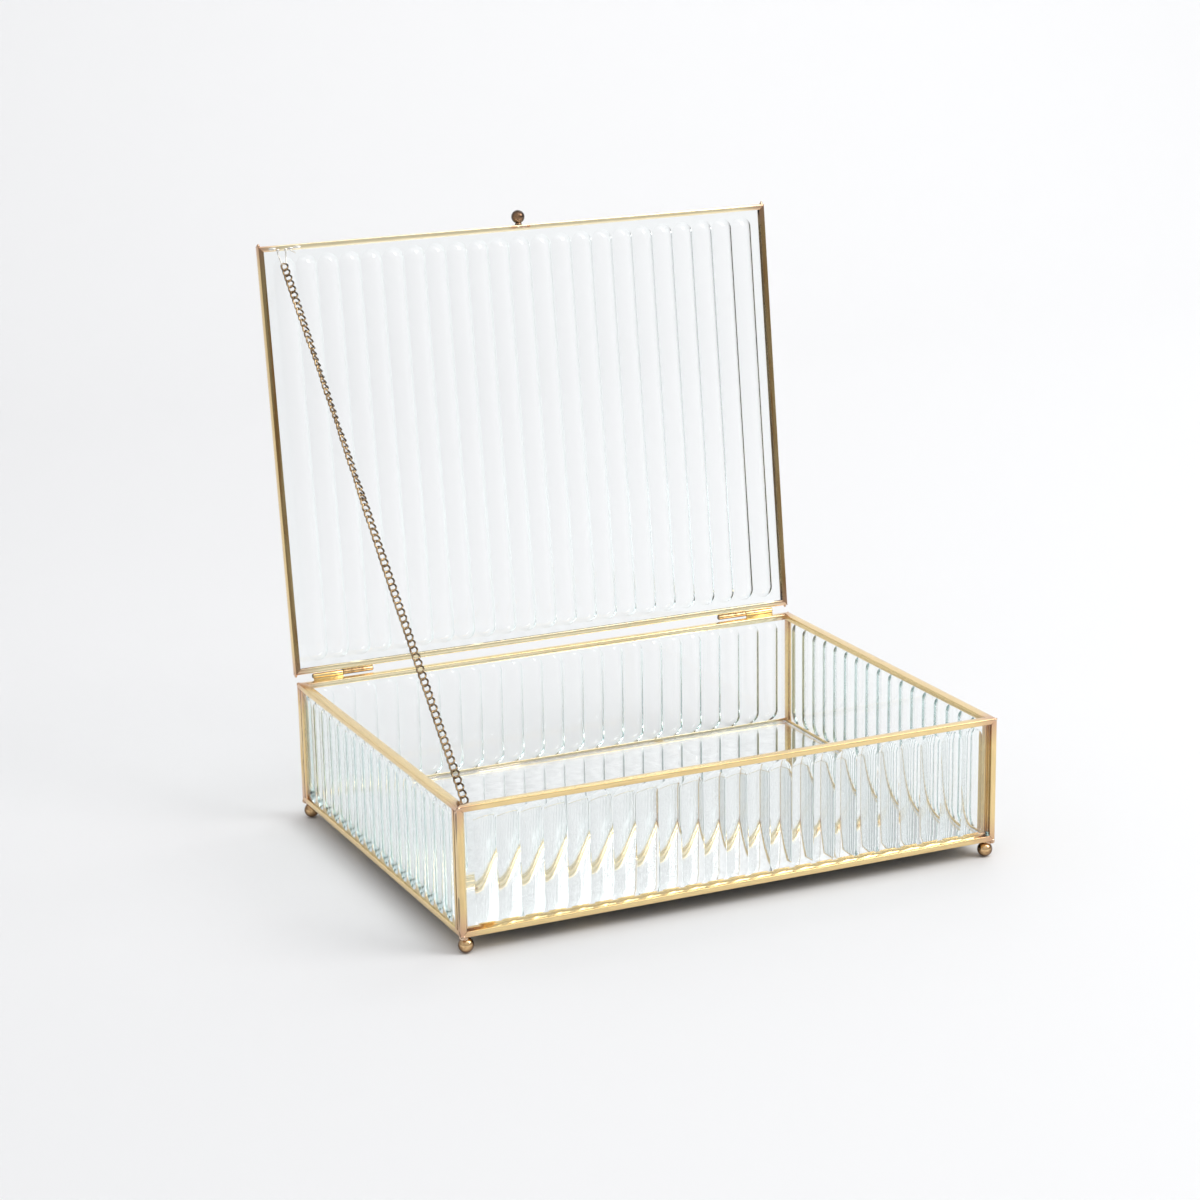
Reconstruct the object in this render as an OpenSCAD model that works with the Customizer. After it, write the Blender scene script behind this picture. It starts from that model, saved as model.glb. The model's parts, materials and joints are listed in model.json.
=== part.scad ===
// Glass casket box: brass strip frame, fluted panes, a mirror floor, ball feet,
// and a hinged lid that a fine chain stops just past upright. The lid is drawn open.
// The origin is the middle of the base's underside: X along the front, Y to the back, Z up.

/* [Box] */
// Length of the box along its front
box_w = 300; // [200:1:420]
// Depth of the box from front to back
box_d = 230; // [170:1:320]
// Height of the framed walls, without the feet
wall_h = 67; // [50:1:110]

/* [Brass strip] */
// Width of the strip's visible face
strip_w = 2.9; // [2.6:0.1:6]
// Thickness of the base strip's metal
strip_t = 0.8; // [0.5:0.05:1]
// Thickness of the lid strip's metal
lid_strip_t = 0.6; // [0.4:0.05:0.8]
// Height that the bottom strip's inner leg stands above the mirror
bead_h = 1.2; // [0.6:0.1:2.5]
// Width of the ledge that carries the mirror
ledge_w = 3.2; // [2:0.1:6]

/* [Glass] */
// Thickness of the fluted glass
glass_t = 3.2; // [3:0.1:4.5]
// Distance from one flute to the next
flute_pitch = 12.35; // [9:0.05:18]
// Depth of a flute in the outer face
flute_depth = 1.5; // [0.6:0.05:2]
// Width of the flat ridge between two flutes
flute_land = 0.3; // [0.2:0.05:1]
// Distance from the outer edge of the frame to the round end of a flute
flute_end = 6; // [5:0.1:12]
// Least distance from the outer edge of the frame to the side of the first flute
flute_margin = 7.5; // [6.5:0.1:12]
// Thickness of the mirror
mirror_t = 2.4; // [2:0.1:3.5]
// Clearance round a pane in its strip
seat_gap = 0.05; // [0.02:0.01:0.15]
// Clearance round the mirror and its backing
mirror_gap = 0.2; // [0.1:0.05:0.4]

/* [Lid and hinges] */
// Angle from closed at which the chain stops the lid
open_angle = 97; // [92:0.5:104]
// Gap between the closed lid and the rim
lid_gap = 0.5; // [0.4:0.05:0.8]
// Distance of the hinge line behind the back and above the rim
hinge_off = 1.9; // [1.8:0.05:2.6]
// Outer diameter of a hinge tube
tube_d = 2.9; // [2.6:0.05:3.2]
// Length of one hinge tube
tube_len = 17; // [10:0.5:25]
// Gap between the two tubes of a hinge
tube_gap = 0.2; // [0.1:0.05:0.5]
// Distance from the side of the box to the outer tube
hinge_inset = 10; // [8:0.5:40]
// Diameter of the hinge pin
pin_d = 1.4; // [1:0.05:1.6]
// Clearance round the pin
pin_gap = 0.05; // [0.03:0.01:0.08]
// Diameter of the pin's peened ends
pin_head_d = 2.2; // [2:0.05:2.6]
// Length of a peened end
pin_head_t = 0.4; // [0.2:0.05:0.8]
// Thickness of a hinge leaf
leaf_t = 0.7; // [0.4:0.05:0.8]

/* [Feet and knob] */
// Diameter of a ball foot
foot_d = 8; // [6:0.1:12]
// Distance from the frame down to the middle of a ball foot
foot_drop = 5; // [4.5:0.1:8]
// Distance of a ball foot's middle in from both sides of its corner
foot_inset = 3.7; // [3:0.1:6]
// Diameter of the neck of solder above a ball foot
foot_neck_d = 4; // [3:0.1:5.5]
// Diameter of the knob
knob_d = 7.4; // [6:0.1:12]
// Distance from the lid's edge to the middle of the knob
knob_reach = 4.4; // [3.8:0.1:8]
// Diameter of the knob's collar
knob_collar_d = 4.4; // [3:0.1:4.5]

/* [Chain] */
// Nominal distance from one link to the next
link_pitch = 3.75; // [3.4:0.05:4.5]
// Diameter of a link's wire
wire_d = 0.8; // [0.5:0.05:0.9]
// Diameter of the wire of the two eyes
eye_wire_d = 0.7; // [0.5:0.05:0.7]
// Radius of the bends in the eyes' wire
eye_bend_r = 0.6; // [0.4:0.05:0.6]
// Play between two links
link_gap = 0.05; // [0.03:0.01:0.1]
// Gap between the tips of the two middle links
tip_gap = 0.6; // [0.6:0.05:0.9]
// Distance of the chain's foot from the left side of the box
foot_eye_inset = 7.8; // [7.8:0.1:8.5]
// Distance of the chain's head from the left side of the box
head_eye_inset = 12.8; // [12.8:0.1:16]
// Distance that the foot eye stands off the rim, towards the back
foot_eye_reach = 3.9; // [3.6:0.1:5]
// Depth of the foot eye's bar below the rim
foot_eye_depth = 1.5; // [1.4:0.05:2]
// Rise of the foot eye from the rim to its bar
foot_eye_rise = 1; // [0.5:0.1:1.5]
// Width of the foot eye between its legs
foot_eye_w = 3.6; // [3:0.1:4]
// Length of the head eye's legs before they slope down
head_eye_stub = 1.3; // [1.2:0.1:1.6]
// Distance from the start of the head eye's slope to its bar
head_eye_reach = 6; // [5.6:0.1:8]
// Depth of the head eye's bar under the lid
head_eye_depth = 1.9; // [1.7:0.05:2.2]
// Width of the head eye at the lid's strip
head_eye_w = 4.4; // [4:0.1:5]
// Width of the head eye at its bar
head_eye_bar_w = 2.4; // [2:0.1:3]

/* [Hidden] */
$fn = 64;

brass = "#d9b36c";
aged_brass = "#8f6d45";
clear_glass = [0.84, 0.93, 0.93, 0.45];
silvered = "#c9d2d4";
backing_grey = "#54565a";

// strip sections
slot_w = glass_t + 2 * seat_gap;
channel_w = slot_w + 2 * strip_t;
bottom_w = channel_w + ledge_w;
bottom_h = strip_t + mirror_t + bead_h;
lid_t = slot_w + 2 * lid_strip_t;
cut = 1;

// flutes
flute_w = flute_pitch - flute_land;
flute_r = (pow(flute_w / 2, 2) + pow(flute_depth, 2)) / (2 * flute_depth);

// hinge line, and the height of the closed lid's underside
hinge_y = box_d / 2 + hinge_off;
hinge_z = wall_h + hinge_off;
lid_z = wall_h + lid_gap;
bore_d = pin_d + 2 * pin_gap;
hinge_len = 2 * tube_len + tube_gap;

// bars of the two eyes; the head eye's is given with the lid closed
foot_bar = [foot_eye_inset - box_w / 2,
    channel_w + foot_eye_reach - box_d / 2,
    wall_h - foot_eye_depth];
head_bar_closed = [head_eye_inset - box_w / 2,
    strip_w + head_eye_stub + head_eye_reach - box_d / 2,
    lid_z - head_eye_depth];
head_root_z = lid_z + eye_wire_d / 2 - 0.13;
eye_bend_d = eye_wire_d + 0.04;
eye_sink = 0.1;

// place of a point of the closed lid once the lid is open
function opened(p) = let(y = p.y - hinge_y, z = p.z - hinge_z) [p.x,
    hinge_y + y * cos(open_angle) + z * sin(open_angle),
    hinge_z - y * sin(open_angle) + z * cos(open_angle)];

head_bar = opened(head_bar_closed);
span = head_bar - foot_bar;
span_len = norm(span);
span_slope = atan2(span.z, span.y);
span_slant = asin(span.x / span_len);

// links: the nominal pitch is stretched a little so that an even number fills the span,
// and every run of links has an even count, so it starts upright and ends flat
taut_len = span_len - tip_gap - 2 * wire_d + eye_wire_d;
link_count = 2 * round(taut_len / link_pitch / 2);
pitch = taut_len / link_count;
link_r = (pitch + wire_d + link_gap) / 2;
first_link = link_r - (eye_wire_d + wire_d) / 2 - link_gap;
folded_drop = foot_bar.z - strip_t - mirror_t - link_r - wire_d / 2;
foot_links = 2 * floor(folded_drop / pitch / 2 - 0.5);
head_links = foot_links - 4;
lower_links = 2 * round(link_count / 4) + 4 - foot_links;
upper_links = link_count - foot_links - lower_links - head_links;

// ---------------------------------------------------------------- brass strip

// a strip's section runs inwards along X and up along Y, and the strip lies along X
// with its outer face at y = 0
module along_x(length) {
    rotate([90, 0, 90])
        translate([0, 0, -length / 2])
            linear_extrude(length)
                children();
}

// what is left of a strip's plan after both ends are mitred
module plan_mitre(length, depth, height) {
    translate([0, 0, -cut])
        linear_extrude(height + 2 * cut)
            polygon([[-length / 2, 0], [length / 2, 0],
                [length / 2 - depth, depth], [depth - length / 2, depth]]);
}

// what is left of a strip's face after both ends are mitred against the posts
module face_mitre(length, depth, height) {
    translate([0, depth + cut, 0])
        rotate([90, 0, 0])
            linear_extrude(depth + 2 * cut)
                polygon([[-length / 2, 0], [length / 2, 0],
                    [length / 2 - strip_w, strip_w], [length / 2 - strip_w, height + cut],
                    [strip_w - length / 2, height + cut], [strip_w - length / 2, strip_w]]);
}

// a channel that holds the edge of a pane, with its web down
module channel_section(metal, height) {
    difference() {
        square([slot_w + 2 * metal, height]);
        translate([metal, metal])
            square([slot_w, height]);
    }
}

module bottom_section() {
    channel_section(strip_t, strip_w);
    translate([channel_w - strip_t, 0])
        square([strip_t, bottom_h]);
    square([bottom_w, strip_t]);
}

module bottom_rail(length) {
    color(brass)
        intersection() {
            along_x(length)
                bottom_section();
            plan_mitre(length, bottom_w, bottom_h);
            face_mitre(length, bottom_w, bottom_h);
        }
}

module top_rail(length) {
    color(brass)
        translate([0, 0, wall_h])
            mirror([0, 0, 1])
                intersection() {
                    along_x(length)
                        channel_section(strip_t, strip_w);
                    plan_mitre(length, channel_w, strip_w);
                    face_mitre(length, channel_w, strip_w);
                }
}

// a lid strip wraps the pane's edge from outside: its web is the outer face
module lid_rail(length) {
    color(brass)
        intersection() {
            along_x(length)
                difference() {
                    square([strip_w, lid_t]);
                    translate([lid_strip_t, lid_strip_t])
                        square([strip_w, slot_w]);
                }
            plan_mitre(length, strip_w, lid_t);
        }
}

// the section of one corner's uprights: the end of the front or back wall's channel, and
// behind it the end of the side wall's channel
module post_section() {
    difference() {
        square([strip_w, channel_w]);
        translate([strip_t, strip_t])
            square([strip_w, slot_w]);
    }
    translate([0, channel_w])
        difference() {
            square([channel_w, strip_w]);
            translate([strip_t, strip_t])
                square([slot_w, strip_w]);
        }
}

// the uprights of one corner, mitred against the rails; their inner legs stand on the
// bottom rails' inner legs
module post() {
    side_w = channel_w + strip_w;
    low = max(strip_w, bottom_h);
    wedge = [[0, 0], [strip_w, strip_w], [side_w + cut, strip_w],
        [side_w + cut, wall_h - strip_w], [strip_w, wall_h - strip_w], [0, wall_h]];
    color(brass)
        intersection() {
            union() {
                linear_extrude(wall_h) {
                    square([strip_w, strip_t]);
                    square([strip_t, side_w]);
                }
                translate([0, 0, low])
                    linear_extrude(wall_h - strip_w - low)
                        post_section();
            }
            translate([0, side_w + cut, 0])
                rotate([90, 0, 0])
                    linear_extrude(side_w + 2 * cut)
                        polygon(wedge);
            translate([-cut, 0, 0])
                rotate([90, 0, 90])
                    linear_extrude(side_w + 2 * cut)
                        polygon(wedge);
        }
}

// the child, drawn with its outer face at y = 0, put on one side of the box
module on_front() {
    translate([0, -box_d / 2, 0])
        children();
}

module on_back() {
    rotate([0, 0, 180])
        on_front()
            children();
}

module on_left() {
    rotate([0, 0, -90])
        translate([0, -box_w / 2, 0])
            children();
}

module on_right() {
    rotate([0, 0, 180])
        on_left()
            children();
}

// the child, drawn for the front left corner, put on corner [x, y], each -1 or 1
module at_corner(x, y) {
    mirror([x > 0 ? 1 : 0, 0, 0])
        mirror([0, y > 0 ? 1 : 0, 0])
            translate([-box_w / 2, -box_d / 2, 0])
                children();
}

// ---------------------------------------------------------------- glass

// a groove with round ends, as a grinding wheel leaves it, along Z
module flute(length) {
    straight = (length - flute_w) / 2;
    rotate_extrude()
        intersection() {
            union() {
                translate([0, straight])
                    circle(flute_r);
                translate([0, -straight])
                    circle(flute_r);
                translate([-flute_r, -straight])
                    square([2 * flute_r, 2 * straight]);
            }
            translate([0, -length])
                square([flute_r + cut, 2 * length]);
        }
}

// a pane that stands on the XZ plane, with its fluted face at y = 0;
// face_w and face_h are the framed sizes that the flutes are laid out in
module pane(width, height, face_w, face_h) {
    count = floor((face_w - 2 * flute_margin) / flute_pitch);
    color(clear_glass)
        difference() {
            translate([-width / 2, 0, -height / 2])
                cube([width, glass_t, height]);
            for (i = [0 : count - 1])
                translate([(i - (count - 1) / 2) * flute_pitch, flute_depth - flute_r, 0])
                    flute(face_h - 2 * flute_end);
        }
}

module wall_pane(width, face_w) {
    translate([0, strip_t + seat_gap, wall_h / 2])
        pane(width, wall_h - 2 * (strip_t + seat_gap), face_w, wall_h);
}

module long_glass() {
    wall_pane(box_w - 2 * (strip_t + seat_gap), box_w);
}

// a side pane stands between the front wall and the back wall, in channels of its own
module side_glass() {
    wall_pane(box_d - 2 * (channel_w + strip_t + seat_gap), box_d);
}

module mirror_floor() {
    color(silvered)
        translate([mirror_gap + channel_w - box_w / 2, mirror_gap + channel_w - box_d / 2,
            strip_t])
            cube([box_w - 2 * (mirror_gap + channel_w), box_d - 2 * (mirror_gap + channel_w),
                mirror_t]);
}

module mirror_backing() {
    color(backing_grey)
        translate([mirror_gap + bottom_w - box_w / 2, mirror_gap + bottom_w - box_d / 2, 0])
            cube([box_w - 2 * (mirror_gap + bottom_w), box_d - 2 * (mirror_gap + bottom_w),
                strip_t]);
}

// ---------------------------------------------------------------- feet

module ball_foot() {
    color(brass)
        translate([foot_inset, foot_inset, -foot_drop]) {
            sphere(d = foot_d);
            cylinder(d = foot_neck_d, h = foot_drop);
        }
}

// ---------------------------------------------------------------- hinges

// from here on X runs along the hinge line, from the outer end of the left hinge
module at_hinge(side) {
    mirror([side > 0 ? 1 : 0, 0, 0])
        translate([hinge_inset - box_w / 2, hinge_y, hinge_z])
            children();
}

module hinge_tube(leaf_low, leaf_high, neck_low, neck_high) {
    color(brass)
        difference() {
            union() {
                rotate([0, 90, 0])
                    cylinder(d = tube_d, h = tube_len);
                translate([0, -hinge_off, leaf_low])
                    cube([tube_len, leaf_t, leaf_high - leaf_low]);
                translate([0, lid_gap - hinge_off - 0.2, neck_low])
                    cube([tube_len, hinge_off - lid_gap, neck_high - neck_low]);
            }
            translate([-cut, 0, 0])
                rotate([0, 90, 0])
                    cylinder(d = bore_d, h = tube_len + 2 * cut);
        }
}

// the leaf lies on the back of the base's top rail, below the tube
module base_hinge_tube() {
    hinge_tube(-hinge_off - strip_w, -hinge_off, -hinge_off - leaf_t, -bore_d / 2 - 0.2);
}

// the leaf lies on the back of the lid's strip, level with the tube
module lid_hinge_tube() {
    translate([tube_len + tube_gap, 0, 0])
        hinge_tube(0.2 + lid_gap - hinge_off, lid_gap - hinge_off + lid_t - 0.3, -0.7, 0.7);
}

module hinge_pin() {
    color(aged_brass)
        rotate([0, 90, 0]) {
            translate([0, 0, -pin_gap])
                cylinder(d = pin_d, h = hinge_len + 2 * pin_gap);
            translate([0, 0, -pin_gap - pin_head_t])
                cylinder(d = pin_head_d, h = pin_head_t);
            translate([0, 0, hinge_len + pin_gap])
                cylinder(d = pin_head_d, h = pin_head_t);
        }
}

// ---------------------------------------------------------------- lid

// the child, drawn on the closed lid, turned with it to its stop
module open_lid() {
    translate([0, hinge_y, hinge_z])
        rotate([-open_angle, 0, 0])
            translate([0, -hinge_y, -hinge_z])
                children();
}

// the child, drawn from the underside of the closed lid upwards
module on_lid() {
    open_lid()
        translate([0, 0, lid_z])
            children();
}

module lid_glass() {
    edge = lid_strip_t + seat_gap;
    on_lid()
        translate([0, 0, lid_t - edge])
            rotate([-90, 0, 0])
                pane(box_w - 2 * edge, box_d - 2 * edge, box_w, box_d);
}

module lid_knob() {
    color(brass)
        on_lid()
            translate([0, -box_d / 2, lid_t / 2])
                rotate([90, 0, 0]) {
                    translate([0, 0, knob_reach])
                        sphere(d = knob_d);
                    cylinder(d = knob_collar_d, h = knob_reach);
                }
}

// ---------------------------------------------------------------- eyes and chain

// bent wire that holds a bar along X off a strip; the legs' roots are in the XZ plane,
// and the straight wire sinks a little way into the bends
module eye(root_w, bar_w, reach, rise) {
    height = norm([reach, rise]);
    spread = (root_w - bar_w) / 2;
    bend = atan2(height, spread);
    tangent = eye_bend_r * tan(bend / 2);
    color(aged_brass)
        rotate([atan2(rise, reach), 0, 0]) {
            translate([tangent - eye_sink - bar_w / 2, height, 0])
                rotate([0, 90, 0])
                    cylinder(d = eye_wire_d, h = bar_w - 2 * (tangent - eye_sink));
            for (side = [0, 1])
                mirror([side, 0, 0])
                    translate([bar_w / 2 - tangent, height - eye_bend_r, 0])
                        rotate([0, 0, 90 - bend]) {
                            rotate_extrude(angle = bend)
                                translate([eye_bend_r, 0])
                                    circle(d = eye_bend_d);
                            translate([eye_bend_r, eye_sink, 0])
                                rotate([90, 0, 0])
                                    cylinder(d = eye_wire_d,
                                        h = norm([spread, height]) - tangent + eye_sink);
                        }
        }
}

module foot_eye() {
    translate([foot_bar.x, foot_bar.y - foot_eye_reach, foot_bar.z - foot_eye_rise])
        eye(foot_eye_w, foot_eye_w, foot_eye_reach, foot_eye_rise);
}

module head_eye() {
    open_lid()
        translate([head_bar_closed.x, head_bar_closed.y - head_eye_reach, head_root_z]) {
            eye(head_eye_w, head_eye_bar_w, head_eye_reach, head_bar_closed.z - head_root_z);
            color(aged_brass)
                for (side = [-1, 1])
                    translate([side * head_eye_w / 2, -head_eye_stub - 0.1, 0])
                        rotate([-90, 0, 0])
                            cylinder(d = eye_bend_d, h = head_eye_stub + 0.2);
        }
}

// a link, flat in the XY plane or upright in the YZ plane
module link(flat) {
    rotate([0, flat ? 0 : 90, 0])
        rotate_extrude()
            translate([link_r, 0])
                circle(d = wire_d, $fn = 32);
}

// the taut chain's line, with Y from the foot eye's bar to the head eye's
module on_span() {
    translate(foot_bar)
        rotate([span_slope, 0, 0])
            rotate([0, 0, -span_slant])
                children();
}

// links that are counted from the foot eye
module links_from_foot(first, count) {
    color(aged_brass)
        on_span()
            for (i = [first : first + count - 1])
                translate([0, first_link + i * pitch, 0])
                    link(i % 2 == 1);
}

// links that are counted from the head eye
module links_from_head(first, count) {
    color(aged_brass)
        on_span()
            for (i = [first : first + count - 1])
                translate([0, span_len - first_link - i * pitch, 0])
                    link(i % 2 == 1);
}

// ---------------------------------------------------------------- the pieces

on_front() long_glass();  // front_glass
on_back() long_glass();  // back_glass
on_left() side_glass();  // left_glass
on_right() side_glass();  // right_glass
mirror_floor();
mirror_backing();
at_corner(-1, -1) post();  // post_front_left
at_corner(1, -1) post();  // post_front_right
at_corner(-1, 1) post();  // post_back_left
at_corner(1, 1) post();  // post_back_right
on_front() top_rail(box_w);  // top_rail_front
on_back() top_rail(box_w);  // top_rail_back
on_left() top_rail(box_d);  // top_rail_left
on_right() top_rail(box_d);  // top_rail_right
on_front() bottom_rail(box_w);  // bottom_rail_front
on_back() bottom_rail(box_w);  // bottom_rail_back
on_left() bottom_rail(box_d);  // bottom_rail_left
on_right() bottom_rail(box_d);  // bottom_rail_right
at_corner(-1, -1) ball_foot();  // foot_front_left
at_corner(1, -1) ball_foot();  // foot_front_right
at_corner(-1, 1) ball_foot();  // foot_back_left
at_corner(1, 1) ball_foot();  // foot_back_right
at_hinge(-1) base_hinge_tube();  // base_hinge_tube_left
at_hinge(1) base_hinge_tube();  // base_hinge_tube_right
at_hinge(-1) hinge_pin();  // hinge_pin_left
at_hinge(1) hinge_pin();  // hinge_pin_right
foot_eye();
lid_glass();
on_lid() on_front() lid_rail(box_w);  // lid_rail_front
on_lid() on_back() lid_rail(box_w);  // lid_rail_back
on_lid() on_left() lid_rail(box_d);  // lid_rail_left
on_lid() on_right() lid_rail(box_d);  // lid_rail_right
lid_knob();
open_lid() at_hinge(-1) lid_hinge_tube();  // lid_hinge_tube_left
open_lid() at_hinge(1) lid_hinge_tube();  // lid_hinge_tube_right
head_eye();
links_from_foot(0, foot_links);  // chain_foot_links
links_from_foot(foot_links, lower_links);  // chain_lower_links
links_from_head(head_links, upper_links);  // chain_upper_links
links_from_head(0, head_links);  // chain_head_links
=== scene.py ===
"""Looks of the glass casket box: fluted panes in brass strip, a mirror floor, ball feet,
and a hinged lid held by a fine chain."""

import json
import math

import bmesh
import bpy
from mathutils import Matrix, Vector, noise


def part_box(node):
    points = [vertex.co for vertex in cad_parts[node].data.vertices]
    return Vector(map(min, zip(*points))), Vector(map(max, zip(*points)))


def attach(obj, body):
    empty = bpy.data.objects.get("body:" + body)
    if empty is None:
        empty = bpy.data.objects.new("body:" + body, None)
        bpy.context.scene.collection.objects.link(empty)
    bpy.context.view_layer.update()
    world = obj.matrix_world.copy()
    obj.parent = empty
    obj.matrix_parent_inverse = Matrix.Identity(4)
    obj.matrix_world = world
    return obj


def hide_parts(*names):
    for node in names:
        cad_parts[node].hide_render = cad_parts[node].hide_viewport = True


bl_info = {
    "name": "Glass casket box",
    "version": (1, 0, 0),
    "blender": (4, 5, 0),
    "location": "3D View > Sidebar > Casket",
    "description": "Builds the looks of a fluted glass casket box with a hinged lid",
    "category": "Add Mesh",
}

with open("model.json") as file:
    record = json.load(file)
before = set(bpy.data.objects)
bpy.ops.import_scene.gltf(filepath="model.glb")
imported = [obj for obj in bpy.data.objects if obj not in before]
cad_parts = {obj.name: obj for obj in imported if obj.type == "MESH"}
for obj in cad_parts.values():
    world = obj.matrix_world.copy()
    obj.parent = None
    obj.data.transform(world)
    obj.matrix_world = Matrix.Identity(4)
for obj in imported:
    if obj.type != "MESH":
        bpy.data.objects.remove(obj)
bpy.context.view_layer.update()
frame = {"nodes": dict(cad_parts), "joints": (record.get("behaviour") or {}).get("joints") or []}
MM = 0.001
JOINTS = {joint["name"]: joint for joint in frame["joints"]}

# the base's outer faces and the height of its rim, read from the rails
LEFT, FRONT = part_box("bottom_rail_left")[0].x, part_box("bottom_rail_front")[0].y
RIGHT, BACK = -LEFT, -FRONT
WIDTH, DEPTH = RIGHT - LEFT, BACK - FRONT
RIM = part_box("top_rail_front")[1].z
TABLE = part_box("foot_front_left")[0].z

# the hinge line, and the turn from the closed lid to the lid at rest
HINGE = Vector(JOINTS["lid_hinge"]["pos_m"])
OPEN = math.radians(JOINTS["lid_hinge"]["range_deg"][1])
OPEN_LID = (
    Matrix.Translation(HINGE) @ Matrix.Rotation(-OPEN, 4, "X") @ Matrix.Translation(-HINGE)
)

# the bars of the two eyes that hold the chain
FOOT_BAR = Vector(JOINTS["chain_foot_swing"]["pos_m"])
HEAD_BAR = Vector(JOINTS["chain_head_swing"]["pos_m"])


# ------------------------------------------------------------------ settings


class CasketStrip(bpy.types.PropertyGroup):
    colour: bpy.props.FloatVectorProperty(
        name="Brass", description="Colour of the clean brass", subtype="COLOR", size=3,
        min=0, max=1, default=(0.9, 0.68, 0.34))
    # painted light: a lighter brass colour for the strips at the back
    bright: bpy.props.FloatVectorProperty(
        name="Bright brass", description="Colour of the brass strips at the back",
        subtype="COLOR", size=3, min=0, max=1, default=(1.0, 0.88, 0.6))
    tarnish: bpy.props.FloatVectorProperty(
        name="Tarnish", description="Colour of the darkened brass", subtype="COLOR",
        size=3, min=0, max=1, default=(0.42, 0.24, 0.09))
    heat: bpy.props.FloatVectorProperty(
        name="Heat", description="Colour of the brass beside the solder",
        subtype="COLOR", size=3, min=0, max=1, default=(0.66, 0.4, 0.26))
    face: bpy.props.FloatProperty(
        name="Face", description="Width of the strip's visible face", unit="LENGTH",
        default=2.9 * MM, min=2.6 * MM, max=6 * MM)
    metal: bpy.props.FloatProperty(
        name="Metal", description="Thickness of the base strip's metal", unit="LENGTH",
        default=0.8 * MM, min=0.4 * MM, max=1 * MM)
    lid_metal: bpy.props.FloatProperty(
        name="Lid metal", description="Thickness of the lid strip's metal",
        unit="LENGTH", default=0.6 * MM, min=0.4 * MM, max=0.8 * MM)
    slot: bpy.props.FloatProperty(
        name="Slot", description="Width of the channel that holds the glass",
        unit="LENGTH", default=3.3 * MM, min=3 * MM, max=5 * MM)
    bead: bpy.props.FloatProperty(
        name="Bead", description="Height of the bottom strip's inner leg",
        unit="LENGTH", default=4.4 * MM, min=3 * MM, max=6 * MM)
    ledge: bpy.props.FloatProperty(
        name="Ledge", description="Width of the ledge under the mirror",
        unit="LENGTH", default=3.2 * MM, min=2 * MM, max=6 * MM)
    crown: bpy.props.FloatProperty(
        name="Crown", description="Bulge of a strip's face for each unit of its width",
        default=0.05, min=0, max=0.1)


class CasketGlass(bpy.types.PropertyGroup):
    tint: bpy.props.FloatVectorProperty(
        name="Tint", description="Colour of the glass", subtype="COLOR", size=3,
        min=0, max=1, default=(0.15, 0.78, 0.74))
    density: bpy.props.FloatProperty(
        name="Tint strength", description="How fast the glass takes on its tint",
        default=9, min=0, max=40)
    shade: bpy.props.FloatProperty(
        name="Shade", description="Share of a lamp's light that each face lets through",
        default=0.8, min=0.3, max=1)
    thickness: bpy.props.FloatProperty(
        name="Thickness", description="Thickness of the panes", unit="LENGTH",
        default=3.2 * MM, min=2 * MM, max=5 * MM)
    pitch: bpy.props.FloatProperty(
        name="Flute pitch", description="Distance from one flute to the next",
        unit="LENGTH", default=12.35 * MM, min=8 * MM, max=18 * MM)
    land: bpy.props.FloatProperty(
        name="Ridge", description="Width of the ridge between two flutes",
        unit="LENGTH", default=0.3 * MM, min=0.1 * MM, max=1 * MM)
    depth: bpy.props.FloatProperty(
        name="Flute depth", description="Depth of a flute", unit="LENGTH",
        default=1.5 * MM, min=0.5 * MM, max=2 * MM)
    end: bpy.props.FloatProperty(
        name="Flute end", description="Distance from the frame's edge to a flute's end",
        unit="LENGTH", default=6 * MM, min=5 * MM, max=12 * MM)
    wall_end: bpy.props.FloatProperty(
        name="Wall flute end",
        description="Distance from a wall's edge to the end of its flutes",
        unit="LENGTH", default=3.5 * MM, min=3 * MM, max=12 * MM)
    margin: bpy.props.FloatProperty(
        name="Margin", description="Least distance from the frame's edge to a flute",
        unit="LENGTH", default=7.5 * MM, min=5 * MM, max=12 * MM)


class CasketChain(bpy.types.PropertyGroup):
    colour: bpy.props.FloatVectorProperty(
        name="Chain", description="Colour of the chain's darkened brass",
        subtype="COLOR", size=3, min=0, max=1, default=(0.8, 0.58, 0.33))
    wire: bpy.props.FloatProperty(
        name="Wire", description="Diameter of a link's wire", unit="LENGTH",
        default=1.05 * MM, min=0.5 * MM, max=1.1 * MM)
    link_length: bpy.props.FloatProperty(
        name="Link length", description="Outer length of a link", unit="LENGTH",
        default=5.42 * MM, min=4 * MM, max=6 * MM)
    link_width: bpy.props.FloatProperty(
        name="Link width", description="Outer width of a link", unit="LENGTH",
        default=4.5 * MM, min=3 * MM, max=5.4 * MM)


class CasketStage(bpy.types.PropertyGroup):
    floor: bpy.props.FloatVectorProperty(
        name="Floor", description="Colour of the floor and backdrop", subtype="COLOR",
        size=3, min=0, max=1, default=(0.86, 0.86, 0.863))
    room: bpy.props.FloatProperty(
        name="Room light", description="Strength of the light from the room",
        default=0.74, min=0, max=3)
    key: bpy.props.FloatProperty(
        name="Key light", description="Power of the light at the right", default=18,
        min=0, max=500, unit="POWER")
    top: bpy.props.FloatProperty(
        name="Top light", description="Power of the light overhead", default=9,
        min=0, max=500, unit="POWER")
    wall: bpy.props.FloatProperty(
        name="Wall light", description="Power of the light on the backdrop", default=12,
        min=0, max=500, unit="POWER")


GROUPS = (CasketStrip, CasketGlass, CasketChain, CasketStage)


def settings(name):
    return getattr(bpy.context.scene, "casket_" + name)


# ------------------------------------------------------------------ materials


def new_material(name):
    mat = bpy.data.materials.new(name)
    mat.use_nodes = True
    mat.node_tree.nodes.clear()
    out = mat.node_tree.nodes.new("ShaderNodeOutputMaterial")
    shader = mat.node_tree.nodes.new("ShaderNodeBsdfPrincipled")
    mat.node_tree.links.new(shader.outputs[0], out.inputs["Surface"])
    return mat, shader, out


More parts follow.
